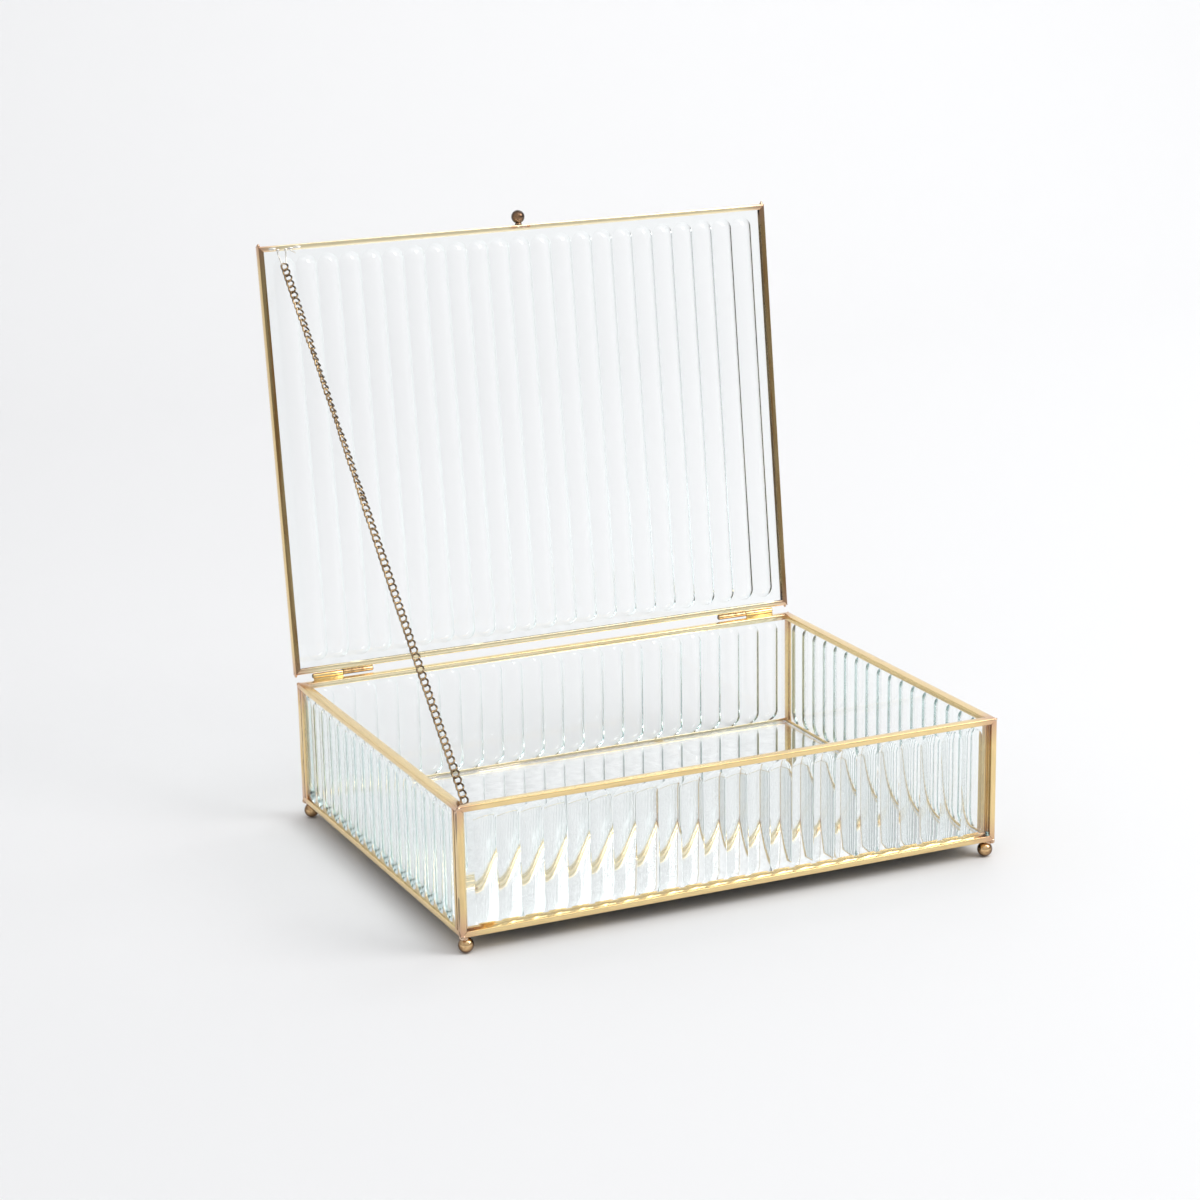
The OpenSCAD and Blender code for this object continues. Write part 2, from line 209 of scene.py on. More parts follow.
def shader_group(name, inputs, outputs):
    """A new group of shader nodes, with its input and output nodes."""
    tree = bpy.data.node_groups.new(name, "ShaderNodeTree")
    for label, kind, value in inputs:
        socket = tree.interface.new_socket(label, in_out="INPUT", socket_type=kind)
        if value is not None:
            socket.default_value = value
    for label in outputs:
        tree.interface.new_socket(label, in_out="OUTPUT", socket_type="NodeSocketFloat")
    return tree, tree.nodes.new("NodeGroupInput"), tree.nodes.new("NodeGroupOutput")


def wear_group():
    """Patches of tarnish, fine streaks and the marks of heat near the ends of a piece
    that runs along Direction through Centre. All are drawn out along Direction."""
    if "Wear" in bpy.data.node_groups:
        return bpy.data.node_groups["Wear"]
    vector, number = "NodeSocketVector", "NodeSocketFloat"
    tree, given, result = shader_group("Wear", (
        ("Vector", vector, None), ("Direction", vector, (1, 0, 0)),
        ("Centre", vector, (0, 0, 0)), ("Half Length", number, 1), ("Heat Length", number, 0),
        ("Patch Scale", number, 60), ("Low", number, 0.45), ("High", number, 0.7),
        ("Streak Scale", number, 1400), ("Draw", number, 0)),
        ("Patches", "Streaks", "Heat"))
    nodes, link = tree.nodes, tree.links.new

    def math_node(kind, *values):
        node = nodes.new("ShaderNodeMath")
        node.operation = kind
        for socket, value in zip(node.inputs, values):
            if isinstance(value, (int, float)):
                socket.default_value = value
            else:
                link(value, socket)
        return node.outputs[0]

    def vector_node(kind, *values):
        node = nodes.new("ShaderNodeVectorMath")
        node.operation = kind
        for socket, value in zip(node.inputs, values):
            link(value, socket)
        return node

    offset = vector_node("SUBTRACT", given.outputs["Vector"], given.outputs["Centre"])
    along = vector_node("DOT_PRODUCT", offset.outputs[0], given.outputs["Direction"])
    shrink = vector_node("SCALE", given.outputs["Direction"])
    link(math_node("MULTIPLY", along.outputs["Value"], given.outputs["Draw"]),
         shrink.inputs["Scale"])
    drawn = vector_node("SUBTRACT", offset.outputs[0], shrink.outputs[0])

    patch = nodes.new("ShaderNodeTexNoise")
    patch.inputs["Detail"].default_value = 6
    patch.inputs["Roughness"].default_value = 0.65
    patch.inputs["Distortion"].default_value = 0.4
    link(drawn.outputs[0], patch.inputs["Vector"])
    link(given.outputs["Patch Scale"], patch.inputs["Scale"])
    spread = nodes.new("ShaderNodeMapRange")
    link(patch.outputs["Fac"], spread.inputs["Value"])
    link(given.outputs["Low"], spread.inputs["From Min"])
    link(given.outputs["High"], spread.inputs["From Max"])

    streak = nodes.new("ShaderNodeTexNoise")
    streak.inputs["Detail"].default_value = 3
    link(drawn.outputs[0], streak.inputs["Vector"])
    link(given.outputs["Streak Scale"], streak.inputs["Scale"])

    # heat: from 0 at Heat Length before the end to 1 at the end, broken up by patches
    rest = math_node("SUBTRACT", given.outputs["Half Length"],
                     math_node("ABSOLUTE", along.outputs["Value"]))
    near = math_node("SUBTRACT", 1, math_node(
        "DIVIDE", rest, math_node("MAXIMUM", given.outputs["Heat Length"], 1e-6)))
    near = math_node("ADD", near, math_node(
        "MULTIPLY", math_node("SUBTRACT", patch.outputs["Fac"], 0.5), 1.2))
    heat = nodes.new("ShaderNodeClamp")
    link(near, heat.inputs["Value"])

    link(spread.outputs["Result"], result.inputs["Patches"])
    link(streak.outputs["Fac"], result.inputs["Streaks"])
    link(heat.outputs[0], result.inputs["Heat"])
    return tree


def metal(name, clean, dark, gloss=(0.2, 0.45), patches=(60, 0.45, 0.7), streaks=1400,
          bump=0.02, run=None, heat=None, coat=0.0, rim=None):
    """Metal that changes from clean to dark in patches. run is the (direction, centre, half
    length) of a drawn strip, heat the colour at its soldered ends, and rim the colour that
    is painted where a round form turns away from the view: painted shade along its outline."""
    if name in bpy.data.materials:
        return bpy.data.materials[name]
    mat, shader, _ = new_material(name)
    nodes, link = mat.node_tree.nodes, mat.node_tree.links.new
    place = nodes.new("ShaderNodeTexCoord")
    wear = nodes.new("ShaderNodeGroup")
    wear.node_tree = wear_group()
    values = dict(zip(("Patch Scale", "Low", "High"), patches))
    values["Streak Scale"] = streaks
    if run:
        direction, centre, half = run
        values.update({"Direction": direction, "Centre": centre, "Half Length": half,
                       "Heat Length": 14 * MM, "Draw": 0.93})
    for socket, value in values.items():
        wear.inputs[socket].default_value = value
    link(place.outputs["Object"], wear.inputs["Vector"])

    def blend(factor, first, second):
        mix = nodes.new("ShaderNodeMix")
        mix.data_type = "RGBA"
        link(factor, mix.inputs["Factor"])
        for socket, value in ((mix.inputs["A"], first), (mix.inputs["B"], second)):
            if isinstance(value, bpy.types.NodeSocket):
                link(value, socket)
            else:
                socket.default_value = (*value, 1)
        return mix.outputs["Result"]

    line = nodes.new("ShaderNodeMapRange")
    for socket, value in (("From Min", 0.35), ("From Max", 0.65), ("To Min", 0.0),
                          ("To Max", 0.5)):
        line.inputs[socket].default_value = value
    link(wear.outputs["Streaks"], line.inputs["Value"])
    colour = blend(line.outputs["Result"], clean, [c * 0.8 for c in clean])
    colour = blend(wear.outputs["Patches"], colour, dark)
    if heat:
        colour = blend(wear.outputs["Heat"], colour, heat)
    # painted shade: the colour turns towards rim where the surface faces away from the view
    if rim:
        weight = nodes.new("ShaderNodeLayerWeight")
        weight.inputs["Blend"].default_value = 0.5
        rim_shade = nodes.new("ShaderNodeMapRange")
        rim_shade.inputs["From Min"].default_value = 0.1
        rim_shade.inputs["From Max"].default_value = 0.55
        link(weight.outputs["Facing"], rim_shade.inputs["Value"])
        colour = blend(rim_shade.outputs["Result"], colour, rim)
    link(colour, shader.inputs["Base Color"])
    rough = nodes.new("ShaderNodeMapRange")
    rough.inputs["To Min"].default_value, rough.inputs["To Max"].default_value = gloss
    link(wear.outputs["Patches"], rough.inputs["Value"])
    link(rough.outputs["Result"], shader.inputs["Roughness"])
    height = nodes.new("ShaderNodeBump")
    height.inputs["Strength"].default_value = 0.6
    height.inputs["Distance"].default_value = bump * MM
    link(wear.outputs["Streaks"], height.inputs["Height"])
    link(height.outputs["Normal"], shader.inputs["Normal"])
    shader.inputs["Metallic"].default_value = 1
    shader.inputs["Coat Weight"].default_value = coat
    shader.inputs["Coat Roughness"].default_value = 0.12
    return mat


LID_DEPTH = OPEN_LID.to_3x3() @ Vector((0, 1, 0))
LID_MIDDLE = OPEN_LID @ Vector((0, 0, RIM))
RUNS = {
    "along": ((1, 0, 0), (0, 0, 0), WIDTH / 2),
    "across": ((0, 1, 0), (0, 0, 0), DEPTH / 2),
    "upright": ((0, 0, 1), (0, 0, RIM / 2), RIM / 2),
    "lid side": (LID_DEPTH, LID_MIDDLE, DEPTH / 2),
    "lid edge": (LID_DEPTH, LID_MIDDLE, DEPTH / 2),
}


def strip_brass(run):
    """Brass strip drawn along one of RUNS; on the lid's sides it is painted much darker: painted
    shade for the dark surroundings that these faces reflect.
    """
    s = settings("strip")
    # painted shade: the brass, tarnish and heat colours of the lid's sides at half strength or
    # less
    if run == "lid side":
        return metal("Brass strip lid side", [c * 0.4 for c in s.colour],
                     [c * 0.5 for c in s.tarnish], patches=(190, 0.42, 0.6), streaks=900,
                     run=RUNS[run], heat=[c * 0.5 for c in s.heat], gloss=(0.18, 0.35))
    return metal("Brass strip " + run, s.colour, s.tarnish, patches=(110, 0.56, 0.9),
                 run=RUNS[run], heat=s.heat, gloss=(0.2, 0.42), coat=0.15)


def brass_painted_lighter():
    """Brass of the strips at the back and of the lid's long strips, painted lighter: painted light
    that stands for their bright reflections.
    """
    s = settings("strip")
    return metal("Bright brass strip", s.bright, s.colour, patches=(110, 0.5, 0.85),
                 run=RUNS["along"], heat=s.heat, gloss=(0.18, 0.36), coat=0.15)


def brass():
    s = settings("strip")
    return metal("Brass", s.colour, s.tarnish, patches=(260, 0.5, 0.8), gloss=(0.1, 0.35),
                 coat=0.25)


def tarnished_and_shaded_brass():
    # fine dark patches of strong contrast: partly real tarnish, partly painted shade for the dark
    # reflections between the highlights; rim paints a dark outline (painted shade)
    return metal("Darkened brass", settings("chain").colour, (0.14, 0.075, 0.035),
                 gloss=(0.15, 0.4), patches=(500, 0.42, 0.62), rim=(0.04, 0.022, 0.012))


def knob_bronze():
    # rim paints the knob's outline dark: painted shade
    return metal("Knob bronze", (0.36, 0.2, 0.1), (0.08, 0.04, 0.02), gloss=(0.06, 0.26),
                 patches=(240, 0.42, 0.66), streaks=700, coat=0.6,
                 rim=(0.05, 0.028, 0.015))


def bronze():
    # rim paints the outline of the balls and leaves dark: painted shade
    return metal("Bronze ball", (0.85, 0.58, 0.3), (0.3, 0.15, 0.06), gloss=(0.08, 0.3),
                 patches=(240, 0.47, 0.68), streaks=700, coat=0.3,
                 rim=(0.16, 0.08, 0.035))


def seam():
    # painted shade: dark wires that stand for the shade in the crevices between strips
    return metal("Seam", (0.3, 0.16, 0.07), (0.12, 0.06, 0.03), gloss=(0.3, 0.6),
                 patches=(400, 0.4, 0.7))


def solder():
    return metal("Solder", (0.8, 0.6, 0.44), (0.5, 0.27, 0.14), gloss=(0.16, 0.45),
                 patches=(330, 0.45, 0.68), streaks=900, bump=0.06)


def eye_wire():
    return metal("Silvered wire", (0.76, 0.73, 0.67), (0.36, 0.27, 0.19),
                 gloss=(0.2, 0.4), patches=(500, 0.55, 0.8))


def glass(name="Fluted glass", depth=True):
    """Clear glass that lets the lamps' light through to what is behind it. With depth,
    it takes on its tint where one looks through much of it."""
    if name in bpy.data.materials:
        return bpy.data.materials[name]
    g = settings("glass")
    mat, shader, out = new_material(name)
    nodes, link = mat.node_tree.nodes, mat.node_tree.links.new
    shader.inputs["Base Color"].default_value = (1, 1, 1, 1)
    shader.inputs["Roughness"].default_value = 0
    shader.inputs["IOR"].default_value = 1.5
    shader.inputs["Transmission Weight"].default_value = 1
    place = nodes.new("ShaderNodeTexCoord")
    ripple = nodes.new("ShaderNodeTexNoise")
    ripple.inputs["Scale"].default_value = 60
    ripple.inputs["Detail"].default_value = 1
    height = nodes.new("ShaderNodeBump")
    height.inputs["Strength"].default_value = 0.08 if depth else 0
    height.inputs["Distance"].default_value = 0.03 * MM
    link(place.outputs["Object"], ripple.inputs["Vector"])
    link(ripple.outputs["Fac"], height.inputs["Height"])
    link(height.outputs["Normal"], shader.inputs["Normal"])
    through = nodes.new("ShaderNodeBsdfTransparent")
    through.inputs["Color"].default_value = (*[g.shade] * 3, 1)
    lamps = nodes.new("ShaderNodeLightPath")
    both = nodes.new("ShaderNodeMixShader")
    link(lamps.outputs["Is Shadow Ray"], both.inputs[0])
    link(shader.outputs[0], both.inputs[1])
    link(through.outputs[0], both.inputs[2])
    link(both.outputs[0], out.inputs["Surface"])
    if depth:
        inside = nodes.new("ShaderNodeVolumeAbsorption")
        inside.inputs["Color"].default_value = (*g.tint, 1)
        inside.inputs["Density"].default_value = g.density
        link(inside.outputs[0], out.inputs["Volume"])
    return mat


def silver():
    return metal("Silvering", (0.97, 0.98, 0.975), (0.93, 0.95, 0.95), gloss=(0.0, 0.02),
                 patches=(25, 0.5, 0.9), streaks=200, bump=0.0)


def backing_paint():
    """Flat grey paint with a fine mottle."""
    name = "Backing paint"
    if name in bpy.data.materials:
        return bpy.data.materials[name]
    mat, shader, _ = new_material(name)
    nodes, link = mat.node_tree.nodes, mat.node_tree.links.new
    place = nodes.new("ShaderNodeTexCoord")
    mottle = nodes.new("ShaderNodeTexNoise")
    mottle.inputs["Scale"].default_value = 400
    mottle.inputs["Detail"].default_value = 5
    ramp = nodes.new("ShaderNodeValToRGB")
    ramp.color_ramp.elements[0].position = 0.35
    ramp.color_ramp.elements[0].color = (0.03, 0.03, 0.031, 1)
    ramp.color_ramp.elements[1].position = 0.7
    ramp.color_ramp.elements[1].color = (0.055, 0.055, 0.057, 1)
    height = nodes.new("ShaderNodeBump")
    height.inputs["Distance"].default_value = 0.1 * MM
    link(place.outputs["Object"], mottle.inputs["Vector"])
    link(mottle.outputs["Fac"], ramp.inputs["Fac"])
    link(mottle.outputs["Fac"], height.inputs["Height"])
    link(ramp.outputs["Color"], shader.inputs["Base Color"])
    link(height.outputs["Normal"], shader.inputs["Normal"])
    shader.inputs["Roughness"].default_value = 0.75
    return mat


# ------------------------------------------------------------------ shaping


def piece(bm, name, body, materials, nodes=(), sharp=35, matrix=None):
    """Makes the mesh a piece that rides on a body and stands for some nodes."""
    bmesh.ops.remove_doubles(bm, verts=bm.verts, dist=1e-6)
    if matrix is not None:
        bmesh.ops.transform(bm, matrix=matrix, verts=bm.verts)
    bmesh.ops.recalc_face_normals(bm, faces=bm.faces)
    for face in bm.faces:
        face.smooth = True
    for edge in bm.edges:
        if len(edge.link_faces) == 2:
            edge.smooth = edge.calc_face_angle(0) < math.radians(sharp)
    mesh = bpy.data.meshes.new(name)
    bm.to_mesh(mesh)
    bm.free()
    obj = bpy.data.objects.new(name, mesh)
    bpy.context.scene.collection.objects.link(obj)
    for material in materials:
        mesh.materials.append(material)
    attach(obj, body)
    if nodes:
        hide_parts(*nodes)
    return obj


def outline(corners):
    """Points round a section, counter-clockwise. A corner is (x, y, radius, crown):
    it is rounded by radius, and the edge after it bulges by crown of its length."""
    points, count = [], len(corners)
    for i, (x, y, radius, crown) in enumerate(corners):
        here = Vector((x, y))
        before = Vector(corners[i - 1][:2])
        after_x, after_y, after_radius, _ = corners[(i + 1) % count]
        after = Vector((after_x, after_y))
        if radius:
            start = here + (before - here).normalized() * radius
            end = here + (after - here).normalized() * radius
            for k in range(4):
                t = k / 3
                points.append(start * (1 - t) ** 2 + here * 2 * t * (1 - t) + end * t * t)
        else:
            end = here
            points.append(here)
        if crown:
            stop = after + (here - after).normalized() * after_radius
            run = stop - end
            away = Vector((run.y, -run.x))
            for k in range(1, 6):
                t = k / 6
                points.append(end + run * t + away * crown * 4 * t * (1 - t))
    return points


def cut(bm, point, normal):
    """Cuts off what lies beyond a plane, and closes the cut."""
    geom = bm.verts[:] + bm.edges[:] + bm.faces[:]
    done = bmesh.ops.bisect_plane(
        bm, geom=geom, plane_co=point, plane_no=normal, clear_outer=True, dist=1e-7)
    edges = [e for e in done["geom_cut"] if isinstance(e, bmesh.types.BMEdge)]
    bmesh.ops.edgeloop_fill(bm, edges=edges)


def strip(points, length, slots=1):
    """A strip along X whose section runs inwards along Y and up along Z."""
    bm = bmesh.new()
    half = length / 2 + 1 * MM
    verts = [bm.verts.new((-half, p.x, p.y)) for p in points]
    face = bm.faces.new(verts)
    step = 2 * half / slots
    made = [face]
    for _ in range(slots):
        made = bmesh.ops.extrude_face_region(bm, geom=made)["geom"]
        bmesh.ops.translate(
            bm, vec=(step, 0, 0), verts=[v for v in made if isinstance(v, bmesh.types.BMVert)])
        made = [f for f in made if isinstance(f, bmesh.types.BMFace)]
    return bm


def mitre(bm, length, across=True, face_height=None):
    """Cuts both ends of a strip at 45 degrees in plan, and in its face where it meets
    a post. face_height is the height of the face's outer edge."""
    for side in (-1, 1):
        end = Vector((side * length / 2, 0, 0))
        if across:
            cut(bm, end, Vector((side, 1, 0)))
        if face_height is not None:
            up = 1 if face_height == 0 else -1
            cut(bm, end + Vector((0, 0, face_height)), Vector((side, 0, up)))


FACES = (
    ("front", Matrix.Identity(4), WIDTH, DEPTH),
    ("back", Matrix.Rotation(math.pi, 4, "Z"), WIDTH, DEPTH),
    ("left", Matrix.Rotation(-math.pi / 2, 4, "Z"), DEPTH, WIDTH),
    ("right", Matrix.Rotation(math.pi / 2, 4, "Z"), DEPTH, WIDTH),
)


def on_face(turn, across):
    """From a strip's own frame, outer face at y = 0, to its side of the box."""
    return turn @ Matrix.Translation((0, -across / 2, 0))


CORNERS = (
    ("front_left", 1, 1),
    ("front_right", -1, 1),
    ("back_left", 1, -1),
    ("back_right", -1, -1),
)


def at_corner(x, y):
    """From a front left corner at the origin to the named corner of the box."""
    return Matrix.Diagonal((x, y, 1, 1)) @ Matrix.Translation((LEFT, FRONT, 0))


def rough_up(bm, amount, scale, seed):
    """Moves each point a little along its normal, so that a form looks hand-made."""
    bm.normal_update()
    for v in bm.verts:
        shift = noise.noise(v.co * scale + Vector((seed, seed * 0.7, -seed)))
        v.co += v.normal * shift * amount


def lathe(profile, matrix, steps=40):
    """Turns a profile of (radius, height) points round Z and puts it in place."""
    bm = bmesh.new()
    verts = [bm.verts.new((radius, 0, height)) for radius, height in profile]
    edges = [bm.edges.new(pair) for pair in zip(verts, verts[1:])]
    bmesh.ops.spin(
        bm, geom=verts + edges, cent=(0, 0, 0), axis=(0, 0, 1), angle=2 * math.pi,
        steps=steps, use_merge=True)
    bmesh.ops.remove_doubles(bm, verts=bm.verts, dist=1e-6)
    bmesh.ops.transform(bm, matrix=matrix, verts=bm.verts)
    return bm


def join(bm, other):
    """Adds another mesh to this one."""
    mesh = bpy.data.meshes.new("part")
    other.to_mesh(mesh)
    other.free()
    bm.from_mesh(mesh)
    bpy.data.meshes.remove(mesh)


def wire(path, radius, segments=8):
    """Round wire along a path, closed at both ends."""
    bm = bmesh.new()
    edges, last = None, None
    for i, point in enumerate(path):
        ahead = (path[min(i + 1, len(path) - 1)] - path[max(i - 1, 0)]).normalized()
        place = Matrix.Translation(point) @ ahead.to_track_quat("Z", "Y").to_matrix().to_4x4()
        if edges is None:
            made = bmesh.ops.create_circle(
                bm, cap_ends=True, radius=radius, segments=segments, matrix=place)
            edges = list({e for v in made["verts"] for e in v.link_edges})
        else:
            made = bmesh.ops.extrude_edge_only(bm, edges=edges)["geom"]
            verts = [v for v in made if isinstance(v, bmesh.types.BMVert)]
            edges = [e for e in made if isinstance(e, bmesh.types.BMEdge)]
            bmesh.ops.transform(bm, matrix=place @ last.inverted(), verts=verts)
        last = place
    bmesh.ops.edgeloop_fill(bm, edges=edges)
    return bm


def blob(bm, centre, size, seed, amount=0.25 * MM):
    """A lump of solder."""
    lump = bmesh.new()
    bmesh.ops.create_icosphere(lump, subdivisions=3, radius=1)
    bmesh.ops.scale(lump, vec=size, verts=lump.verts)
    bmesh.ops.translate(lump, vec=centre, verts=lump.verts)
    rough_up(lump, amount, 600, seed)
    join(bm, lump)


# ------------------------------------------------------------------ glass


def flute_cell(height, face_height, flute_end):
    """One flute with its ridges: the outer face is at y = 0, and the pane's height
    runs along Z. The flute's floor lies towards +Y."""
    g = settings("glass")
    half_width = (g.pitch - g.land) / 2
    reach = (half_width**2 + g.depth**2) / (2 * g.depth)
    straight = face_height / 2 - flute_end - half_width
    segments, rings = 36, 7
    bm = bmesh.new()
    turn = Matrix.Rotation(math.pi / segments, 4, "Z")
    made = bmesh.ops.create_circle(bm, radius=half_width, segments=segments, matrix=turn)
    loop = list({e for v in made["verts"] for e in v.link_edges})
    side = {}
    for v in bm.verts:
        sign = 1 if v.co.y > 0 else -1
        side[v] = (Vector((v.co.x, v.co.y, 0)), sign)
        v.co.y += sign * straight
    rim = list(loop)
    for k in range(1, rings + 1):
        radius = half_width * (1 - k / rings)
        made = bmesh.ops.extrude_edge_only(bm, edges=loop)["geom"]
        loop = [e for e in made if isinstance(e, bmesh.types.BMEdge)]
        loop = [e for e in loop if len(e.link_faces) == 1]
        for v in (v for v in made if isinstance(v, bmesh.types.BMVert)):
            sign = 1 if v.co.y > 0 else -1
            centre = Vector((0, sign * straight, 0))
            flat = Vector((v.co.x, v.co.y, 0)) - centre
            v.co = centre + flat.normalized() * radius
            v.co.z = -(math.sqrt(reach**2 - radius**2) - (reach - g.depth))
    made = bmesh.ops.extrude_edge_only(bm, edges=rim)["geom"]
    outer = [v for v in made if isinstance(v, bmesh.types.BMVert)]
    first = half_width * math.cos(math.pi / segments) - 1e-7
    for v in outer:
        sign = 1 if v.co.y > 0 else -1
        v.co.x = math.copysign(g.pitch / 2, v.co.x) if abs(v.co.x) > first else v.co.x
        v.co.y = sign * height / 2
    bmesh.ops.remove_doubles(bm, verts=bm.verts, dist=1e-7)
    bmesh.ops.rotate(bm, cent=(0, 0, 0), matrix=Matrix.Rotation(math.pi / 2, 3, "X"),
                     verts=bm.verts)
    return bm


def fluted_pane(width, height, face_width, face_height, flute_end):
    """A pane that stands on the XZ plane with its fluted face at y = 0."""
    g = settings("glass")
    count = math.floor((face_width - 2 * g.margin) / g.pitch)
    bm = flute_cell(height, face_height, flute_end)
    cell = bm.verts[:] + bm.edges[:] + bm.faces[:]
    bmesh.ops.translate(bm, vec=(-(count - 1) / 2 * g.pitch, 0, 0), verts=bm.verts)
    for i in range(1, count):
        made = bmesh.ops.duplicate(bm, geom=cell)["geom"]
        bmesh.ops.translate(
            bm, vec=(i * g.pitch, 0, 0),
            verts=[v for v in made if isinstance(v, bmesh.types.BMVert)])
    bmesh.ops.remove_doubles(bm, verts=bm.verts, dist=1e-6)
    for sign in (-1, 1):
        edge_x = sign * count * g.pitch / 2
        edges = [e for e in bm.edges if e.is_boundary
                 and all(abs(v.co.x - edge_x) < 1e-6 for v in e.verts)]
        made = bmesh.ops.extrude_edge_only(bm, edges=edges)["geom"]
        for v in (v for v in made if isinstance(v, bmesh.types.BMVert)):
            v.co.x = sign * width / 2
    border = [e for e in bm.edges if e.is_boundary]
    made = bmesh.ops.extrude_edge_only(bm, edges=border)["geom"]
    bmesh.ops.translate(
        bm, vec=(0, g.thickness, 0),
        verts=[v for v in made if isinstance(v, bmesh.types.BMVert)])
    bmesh.ops.edgeloop_fill(
        bm, edges=[e for e in made if isinstance(e, bmesh.types.BMEdge) and e.is_boundary])
    return bm


class CASKET_OT_panes(bpy.types.Operator):
    """Makes the four upright panes and the lid's pane"""

    bl_idname = "casket.panes"
    bl_label = "Panes"

    def execute(self, context):
        s, g = settings("strip"), settings("glass")
        gap = (s.slot - g.thickness) / 2
        edge = s.metal + gap
        tall = RIM - 2 * edge
        for name, turn, length, across in FACES:
            inset = edge if length == WIDTH else s.slot + 2 * s.metal + edge
            bm = fluted_pane(length - 2 * inset, tall, length, RIM, g.wall_end)
            place = on_face(turn, across) @ Matrix.Translation((0, edge, RIM / 2))
            piece(bm, name + "_pane", "base", [glass()], [name + "_glass"],
                  sharp=15, matrix=place)
        edge = s.lid_metal + gap
        bm = fluted_pane(WIDTH - 2 * edge, DEPTH - 2 * edge, WIDTH, DEPTH, g.end)
        lid_z = HINGE.z - (HINGE.y - BACK) + 0.5 * MM
        lid_t = s.slot + 2 * s.lid_metal
        place = (OPEN_LID @ Matrix.Translation((0, 0, lid_z + lid_t - edge))
                 @ Matrix.Rotation(-math.pi / 2, 4, "X"))
        piece(bm, "lid_pane", "lid", [glass()], ["lid_glass"], sharp=15,
              matrix=place)
        return {"FINISHED"}


class CASKET_OT_mirror(bpy.types.Operator):
    """Makes the mirror floor, and paints its backing"""

    bl_idname = "casket.mirror"
    bl_label = "Mirror"

    def execute(self, context):
        low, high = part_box("mirror_floor")
        low.z += 0.05 * MM
        bm = bmesh.new()
        size, middle = high - low, (high + low) / 2
        bmesh.ops.create_cube(
            bm, size=1, matrix=Matrix.Translation(middle) @ Matrix.Diagonal((*size, 1)))
        for face in bm.faces:
            if face.calc_center_median().z < low.z + 1e-5:
                face.material_index = 1
        piece(bm, "mirror", "base",
              [glass("Mirror glass", depth=False), silver()], ["mirror_floor"])
        backing = frame["nodes"]["mirror_backing"]
        backing.data.materials.clear()
        backing.data.materials.append(backing_paint())
        return {"FINISHED"}


# ------------------------------------------------------------------ brass


